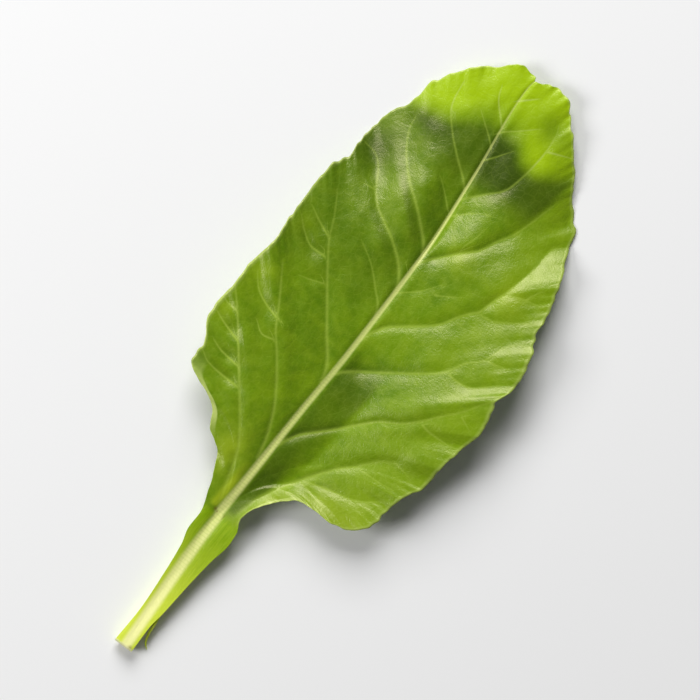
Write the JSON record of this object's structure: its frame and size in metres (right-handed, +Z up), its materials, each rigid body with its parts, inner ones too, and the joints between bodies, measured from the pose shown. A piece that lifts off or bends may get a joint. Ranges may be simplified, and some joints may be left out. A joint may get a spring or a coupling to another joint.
{
  "type": "spinach leaf",
  "caption": "Picked spinach leaf with its cut stalk, long obovate waved blade and side veins, laid down with its upper side up.",
  "frame": {"origin": "centre of the leaf's bounding box in plan, on the surface that the leaf lies on", "axes": "+Y from the cut end of the stalk to the tip, +Z up from the surface, out of the leaf's upper side"},
  "size_m": [0.0824, 0.2014, 0.0131],
  "materials": {
    "leaf": "satin"
  },
  "bodies": {
    "root": {"leaf": "leaf"}
  },
  "joints": []
}
